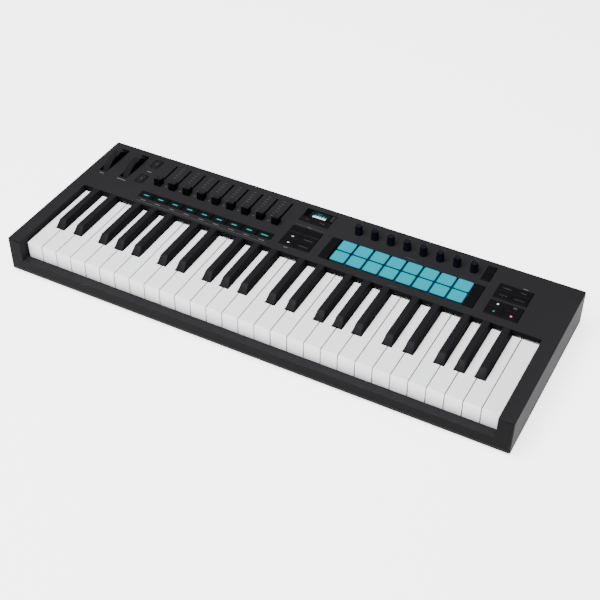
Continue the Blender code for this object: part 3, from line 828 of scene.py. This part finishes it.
def knob_body(bm, x, y, base, top, radius, flutes):
    """A fluted grip with a smooth skirt, a rolled rim and a dished top."""
    per_flute = 6
    steps = flutes * per_flute
    middle = spot(x, y, 0)
    rings = ((base, 1.0, 0.0), (base + 0.9, 1.0, 0.0), (base + 1.3, 0.96, 1.0),
             (top - 1.0, 0.93, 1.0), (top - 0.35, 0.90, 0.5), (top, 0.82, 0.0),
             (top - 0.35, 0.74, 0.0), (top - 0.5, 0.30, 0.0))
    bmesh.ops.create_circle(bm, cap_ends=False, segments=steps, radius=radius * MM,
                            matrix=Matrix.Translation(middle))
    loop = bm.edges[:]
    verts = bm.verts[:]
    for place, (height, share, depth) in enumerate(rings):
        if place:
            grown = bmesh.ops.extrude_edge_only(bm, edges=loop)["geom"]
            verts = [v for v in grown if isinstance(v, bmesh.types.BMVert)]
            loop = [e for e in grown if isinstance(e, bmesh.types.BMEdge)]
        for vert in verts:
            offset = vert.co - middle
            angle = math.atan2(offset.y, offset.x)
            groove = max(0.0, math.cos(angle * flutes)) ** 2 * 0.34 * depth
            reach = (radius * share - groove) * MM
            vert.co = middle + Vector((math.cos(angle) * reach, math.sin(angle) * reach,
                                       height * MM))
    bmesh.ops.holes_fill(bm, edges=loop)
    bottom = [e for e in bm.edges if e.is_boundary]
    bmesh.ops.holes_fill(bm, edges=bottom)


def build_wheels():
    for node in ("pitch_wheel", "mod_wheel"):
        # The side faces of each wheel take the near-black colour: painted shade on the wheels'
        # sides.
        keep(softened(node, 0.0004), f"{node}_tyre", "wheel", node, [node], tidy=False,
             others=["wheel_side_painted_shade"], pick=lambda face: abs(face.normal.x) > 0.8)


# ---------------------------------------------------------------- buttons, pads and display
def build_buttons():
    bm = softened("function_button_mat", sizes().button_edge)
    keep(bm, "function_buttons", "button", "function_button_mat", ["function_button_mat"],
         tidy=False, others=["web", "dark_button", "octave_button"], pick=mat_finish)
    keep(bars(BUTTON_LEGENDS, BUTTON_TOP, 0.05), "button_legends", "legend_ink",
         "function_button_mat")
    build_symbols()
    build_octave_marks()
    build_ribs()

    x0, x1, y0, y1 = FADER_BUTTON_BAY
    bm = bmesh.new()
    crowned(bm, (x0 - 3, x1 + 3, y0 - 3, y1 + 3), WEB_TOP, WEB_TOP - 1.5, 3.0, 0.3)
    keep(bm, "fader_button_web", "dark_button", "fader_button_mat", ["fader_button_mat"])
    bm = bmesh.new()
    for number in range(1, FADERS + 1):
        x = fader_x(number)
        crowned(bm, (x - FADER_BUTTON_HALF, x + FADER_BUTTON_HALF, y0 + 0.5, y1 - 0.5), BUTTON_TOP,
                WEB_TOP - 0.2, 1.0, 0.6, divisions=18)
    keep(bm, "fader_buttons", "dark_button", "fader_button_mat")
    build_lamps()


def build_ribs():
    """Low ribs between the columns of buttons, and the panel's bar across the menu block."""
    ribs, bar = bmesh.new(), bmesh.new()
    x0, x1, y0, y1 = MENU_BAY
    middle = (x0 + x1) / 2
    for x, front, rear in ((middle, y0 + 0.6, MENU_BAR - 0.5), (middle, MENU_BAR + 0.5, y1 - 0.6),
                           (TRANSPORT_MIDDLE, 197.4, 227.0), (TRANSPORT_MIDDLE, 164.2, 192.0)):
        slab(ribs, x - 0.7, x + 0.7, front, rear, WEB_TOP - 0.2, BUTTON_TOP - 0.3)
    keep(ribs, "button_ribs", "button", "function_button_mat")
    crowned(bar, (x0 + 0.1, x1 - 0.1, MENU_BAR - 0.3, MENU_BAR + 0.3), PANEL_Z + 0.9, WEB_TOP + 0.9,
            0.25, 0.15)
    keep(bar, "menu_bar", "shell", CASE)


def mat_finish(face):
    """Plain button, web, the darker buttons beside the encoders or the octave buttons."""
    middle = face.calc_center_median()
    if middle.z < (WEB_TOP + 0.2) * MM:
        return 1
    if middle.x < OCTAVE_EDGE * MM:
        return 3
    return 2 if BANK_SPAN[0] * MM < middle.x < BANK_SPAN[1] * MM else 0


def build_lamps():
    """A lit bar in a teal window on each button under the faders."""
    core, window = bmesh.new(), bmesh.new()
    for number in range(1, FADERS + 1):
        x = fader_x(number)
        half = 5.2 if number == FADERS else 3.9
        crowned(window, (x - half - 2.2, x + half + 2.2, 166.9, 172.0), BUTTON_TOP + 0.03,
                BUTTON_TOP - 0.3, 2.4, 0.05)
        crowned(core, (x - half, x + half, 168.5, 170.3), BUTTON_TOP + 0.1, BUTTON_TOP - 0.3,
                0.8, 0.06)
    keep(window, "fader_lamp_windows", "cyan_halo", "fader_button_mat")
    keep(core, "fader_lamps", "cyan_core", "fader_button_mat")


def build_octave_marks():
    """A dark border and an arrow on each octave button."""
    low, high = BUTTON_TOP - 0.2, BUTTON_TOP + 0.04
    borders, arrows = bmesh.new(), bmesh.new()
    for (x, y), turn in zip(OCTAVE_BUTTONS, (-math.pi / 2, math.pi / 2)):
        for side in (-1.0, 1.0):
            slab(borders, x + side * 5.0 - 0.55, x + side * 5.0 + 0.55, y - 8.4, y + 8.4, low, high)
            slab(borders, x - 4.6, x + 4.6, y + side * 8.5 - 0.55, y + side * 8.5 + 0.55, low, high)
            for along in (-1.0, 1.0):
                disc(borders, x + side * 4.5, y + along * 8.0, low, high, 1.05, 12)
        disc(arrows, x, y, low, high, 1.9, 3, turn)
    keep(borders, "octave_borders", "web", "function_button_mat")
    keep(arrows, "octave_arrows", "scale_ink", "function_button_mat")


def build_symbols():
    """Lit symbols: two arrows on the menu block, and play, stop, loop and record."""
    low, high = BUTTON_TOP - 0.2, BUTTON_TOP + 0.06
    arrows, stop, loop, play, record = (bmesh.new() for _ in range(5))
    for x, y, turn in ((-24.0, 185.0, math.pi / 2), (-23.4, 170.8, -math.pi / 2)):
        arrow = disc(arrows, x, y, low, high, 1.9, 3, turn)
        bmesh.ops.scale(arrows, vec=(1.45, 0.72, 1.0), verts=arrow,
                        space=Matrix.Translation(-spot(x, y, 0)))
    slab(stop, 269.4, 272.0, 184.5, 187.1, low, high)
    slab(loop, 291.4, 292.3, 185.8, 188.6, low, high)
    slab(loop, 291.4, 295.2, 188.0, 188.9, low, high)
    slab(loop, 294.4, 295.3, 185.8, 188.6, low, high)
    disc(play, 270.7, 170.7, low, high, 1.6, 3)
    disc(record, 293.6, 171.2, low, high, 1.5, 24)
    marks = ((arrows, "menu_arrows", "white_mark"), (stop, "stop_mark", "white_mark"),
             (loop, "loop_mark", "grey_mark"), (play, "play_mark", "play_mark"),
             (record, "record_mark", "record_mark"))
    for bm, name, material in marks:
        keep(bm, name, material, "function_button_mat")
    halos = ((270.7, 170.7, 2.9, "play_halo"), (293.6, 171.2, 3.0, "record_halo"))
    for x, y, radius, name in halos:
        bm = bmesh.new()
        disc(bm, x, y, low, BUTTON_TOP + 0.03, radius, 32)
        keep(bm, name, name, "function_button_mat")


def build_pads():
    low, high = (Vector(corner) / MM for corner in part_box("pad_mat"))
    x0, x1, y0, y1 = PAD_TRAY
    bm = bmesh.new()
    crowned(bm, (x0 - 3, x1 + 3, y0 - 3, y1 + 3), low.z + 1.5, low.z, 3.0, 0.3)
    keep(bm, "pad_web", "web", "pad_mat", ["pad_mat"])

    size = sizes()
    half = PAD_HALF
    bed = bmesh.new()
    spread = (encoder_x(1) - half, encoder_x(ENCODERS) + half,
              PAD_ROWS[0] - half, PAD_ROWS[1] + half)
    crowned(bed, spread, low.z + 1.7, low.z + 1.4, 2.0, 0.2)
    keep(bed, "pad_light_bed", "pad_bed", "pad_mat")
    for column in range(1, ENCODERS + 1):
        x = encoder_x(column)
        for row, y in enumerate(PAD_ROWS, 1):
            bm = bmesh.new()
            crowned(bm, (x - half, x + half, y - half, y + half), high.z, low.z + 1.4,
                    size.pad_corner / MM, 1.3, size.pad_crown / MM, 22)
            keep(bm, f"pad_{row}_{column}", "pad", "pad_mat", smooth=60.0)

    for side, left in (("left", x0 + 0.5), ("right", x1 - 13.3)):
        for place, front in enumerate((y0 + 0.5, y0 + 24.0), 1):
            bm = bmesh.new()
            crowned(bm, (left, left + 12.8, front, front + 22.9), BUTTON_TOP, low.z + 1.4, 0.8, 0.5)
            keep(bm, f"pad_side_button_{side}_{place}", "dark_button", "pad_mat")


def build_display():
    x0, x1, y0, y1 = DISPLAY_BAY
    can = bmesh.new()
    crowned(can, (x0 - 1.8, x1 + 1.8, y0 - 1.8, y1 + 1.3), WEB_TOP - 0.1, 47.7, 1.0, 0.3)
    keep(can, "display_can", "zinc", CASE, ["display_module"])
    top = PANEL_Z - 0.25
    window, field = bmesh.new(), bmesh.new()
    crowned(window, (x0 + 0.4, x1 - 0.4, 234.2, y1 - 0.4), top, WEB_TOP - 0.3, 0.8, 0.2)
    keep(window, "display_window", "lens", CASE)
    crowned(field, (x0 + 0.4, x1 - 0.4, y0 + 0.4, 233.9), top, WEB_TOP - 0.3, 0.8, 0.2)
    keep(field, "display_label_field", "label_field", CASE)
    keep(bars(((-28.0, -22.3, 228.8, 229.6), (-6.2, 1.6, 228.9, 229.7)), top, 0.05),
         "display_labels", "legend_ink", CASE)

    # The picture is a row of bars, bright below and faint above.
    glow, picture, mist, margin = (bmesh.new() for _ in range(4))
    crowned(glow, (-26.5, 1.2, 237.0, 251.0), top + 0.02, top - 0.3, 0.6, 0.02)
    keep(glow, "display_glow", "screen_dim", CASE)
    foot = 237.4
    levels = ((2.6, 5.5), (4.2, 7.5), (3.0, 5.0), (4.8, 8.5), (3.6, 7.0), (4.4, 8.0), (3.0, 6.0),
              (4.6, 8.6), (3.4, 6.6), (4.0, 7.2))
    for number, (bright, faint) in enumerate(levels):
        left = -21.8 + number * 2.0
        slab(picture, left, left + 1.5, foot, foot + bright, top - 0.2, top + 0.05)
        slab(mist, left, left + 1.5, foot + bright + 0.3, foot + faint, top - 0.2, top + 0.04)
    slab(mist, -17.8, -10.5, 247.0, 247.8, top - 0.2, top + 0.04)
    keep(picture, "display_picture", "screen", CASE)
    keep(mist, "display_picture_tails", "screen_mist", CASE)
    crowned(margin, (3.6, 8.4, 238.4, 251.6), top + 0.03, top - 0.3, 0.4, 0.02)
    keep(margin, "display_margin", "screen_grey", CASE)


# ---------------------------------------------------------------- stage
def build_stage():
    scene = bpy.context.scene
    settings = studio()
    bm = bmesh.new()
    bmesh.ops.create_grid(bm, x_segments=8, y_segments=8, size=5.0)
    mesh = bpy.data.meshes.new("floor")
    bm.to_mesh(mesh)
    bm.free()
    paint = Paint("floor_paint", settings.floor, 0.9, Emission_Strength=settings.floor_glow)
    paint.tint(paint.noise(3.0), 0.985)
    paint.shader.inputs["Emission Color"].default_value = (1.0, 1.0, 1.0, 1.0)
    mesh.materials.append(paint.material)
    floor = bpy.data.objects.new("floor", mesh)
    floor.location.z = -0.0002
    scene.collection.objects.link(floor)

    world = bpy.data.worlds.new("pale_room")
    world.use_nodes = True
    background = world.node_tree.nodes["Background"]
    background.inputs["Color"].default_value = (0.96, 0.97, 1.0, 1.0)
    background.inputs["Strength"].default_value = settings.world
    scene.world = world

    add_light("overhead_light", (-0.4, -0.6, 2.5), (0.0, 0.0, 0.0), 2.4, settings.key_power)
    add_light("front_light", (-0.8, -2.4, 1.5), (0.0, 0.0, 0.0), 2.0, settings.fill_power)
    add_light("side_light", (2.6, 0.3, 0.7), (0.3, 0.0, 0.0), 1.4, settings.side_power)

    camera = bpy.data.cameras.new("camera")
    camera.lens = settings.lens
    camera.sensor_width = 36.0
    holder = bpy.data.objects.new("camera", camera)
    holder.location = Vector((0, FRONT, 0)) + Vector(CAMERA_PLACE)
    holder.rotation_euler = CAMERA_TURN
    scene.collection.objects.link(holder)
    scene.camera = holder


def add_light(name, place, target, size, power):
    light = bpy.data.lights.new(name, "AREA")
    light.size = size
    light.energy = power
    holder = bpy.data.objects.new(name, light)
    holder.location = place
    aim = Vector(target) - Vector(place)
    holder.rotation_euler = aim.to_track_quat("-Z", "Y").to_euler()
    bpy.context.scene.collection.objects.link(holder)


# ---------------------------------------------------------------- operators
class KEYBOARD_OT_case(bpy.types.Operator):
    """Build the case shells and finish the parts inside them"""

    bl_idname = "keyboard.case"
    bl_label = "Case"

    def execute(self, context):
        build_case()
        build_inside()
        return {"FINISHED"}


class KEYBOARD_OT_underside(bpy.types.Operator):
    """Build the feet, screws and plate under the case, and the rear sockets"""

    bl_idname = "keyboard.underside"
    bl_label = "Feet, screws and sockets"

    def execute(self, context):
        build_underside()
        build_rear_sockets()
        return {"FINISHED"}


class KEYBOARD_OT_print(bpy.types.Operator):
    """Print the marks on the panel"""

    bl_idname = "keyboard.panel_print"
    bl_label = "Panel print"

    def execute(self, context):
        build_print()
        return {"FINISHED"}


class KEYBOARD_OT_white_keys(bpy.types.Operator):
    """Build the white keys"""

    bl_idname = "keyboard.white_keys"
    bl_label = "White keys"

    def execute(self, context):
        build_white_keys()
        return {"FINISHED"}


class KEYBOARD_OT_black_keys(bpy.types.Operator):
    """Build the black keys"""

    bl_idname = "keyboard.black_keys"
    bl_label = "Black keys"

    def execute(self, context):
        build_black_keys()
        return {"FINISHED"}


class KEYBOARD_OT_faders(bpy.types.Operator):
    """Build the fader caps and slots"""

    bl_idname = "keyboard.faders"
    bl_label = "Faders"

    def execute(self, context):
        build_faders()
        return {"FINISHED"}


class KEYBOARD_OT_encoders(bpy.types.Operator):
    """Build the encoder knobs"""

    bl_idname = "keyboard.encoders"
    bl_label = "Encoder knobs"

    def execute(self, context):
        build_encoders()
        return {"FINISHED"}


class KEYBOARD_OT_wheels(bpy.types.Operator):
    """Build the pitch and modulation wheels"""

    bl_idname = "keyboard.wheels"
    bl_label = "Wheels"

    def execute(self, context):
        build_wheels()
        return {"FINISHED"}


class KEYBOARD_OT_buttons(bpy.types.Operator):
    """Build the silicone buttons and their lamps"""

    bl_idname = "keyboard.buttons"
    bl_label = "Buttons"

    def execute(self, context):
        build_buttons()
        return {"FINISHED"}


class KEYBOARD_OT_pads(bpy.types.Operator):
    """Build the drum pads"""

    bl_idname = "keyboard.pads"
    bl_label = "Drum pads"

    def execute(self, context):
        build_pads()
        return {"FINISHED"}


class KEYBOARD_OT_display(bpy.types.Operator):
    """Build the display"""

    bl_idname = "keyboard.display"
    bl_label = "Display"

    def execute(self, context):
        build_display()
        return {"FINISHED"}


class KEYBOARD_OT_stage(bpy.types.Operator):
    """Set up the floor, lights and camera"""

    bl_idname = "keyboard.stage"
    bl_label = "Stage"

    def execute(self, context):
        build_stage()
        return {"FINISHED"}


OPERATORS = (
    KEYBOARD_OT_case, KEYBOARD_OT_underside, KEYBOARD_OT_print, KEYBOARD_OT_white_keys,
    KEYBOARD_OT_black_keys, KEYBOARD_OT_faders, KEYBOARD_OT_encoders, KEYBOARD_OT_wheels,
    KEYBOARD_OT_buttons, KEYBOARD_OT_pads, KEYBOARD_OT_display, KEYBOARD_OT_stage,
)


class KEYBOARD_PT_builder(bpy.types.Panel):
    """Buttons that build each group of pieces"""

    bl_idname = "KEYBOARD_PT_builder"
    bl_label = "Controller Keyboard"
    bl_space_type = "VIEW_3D"
    bl_region_type = "UI"
    bl_category = "Keyboard"

    def draw(self, context):
        for group in (sizes(), colours(), studio()):
            box = self.layout.box()
            for name in group.__annotations__:
                box.prop(group, name)
        for operator in OPERATORS:
            self.layout.operator(operator.bl_idname)


CLASSES = (KeyboardSizes, KeyboardColours, KeyboardStudio, *OPERATORS, KEYBOARD_PT_builder)


def register():
    for kind in CLASSES:
        bpy.utils.register_class(kind)
    bpy.types.Scene.keyboard_sizes = PointerProperty(type=KeyboardSizes)
    bpy.types.Scene.keyboard_colours = PointerProperty(type=KeyboardColours)
    bpy.types.Scene.keyboard_studio = PointerProperty(type=KeyboardStudio)


def unregister():
    del bpy.types.Scene.keyboard_studio
    del bpy.types.Scene.keyboard_colours
    del bpy.types.Scene.keyboard_sizes
    for kind in reversed(CLASSES):
        bpy.utils.unregister_class(kind)


def main():
    register()
    for operator in OPERATORS:
        group, name = operator.bl_idname.split(".")
        getattr(getattr(bpy.ops, group), name)()


if __name__ == "__main__":
    main()
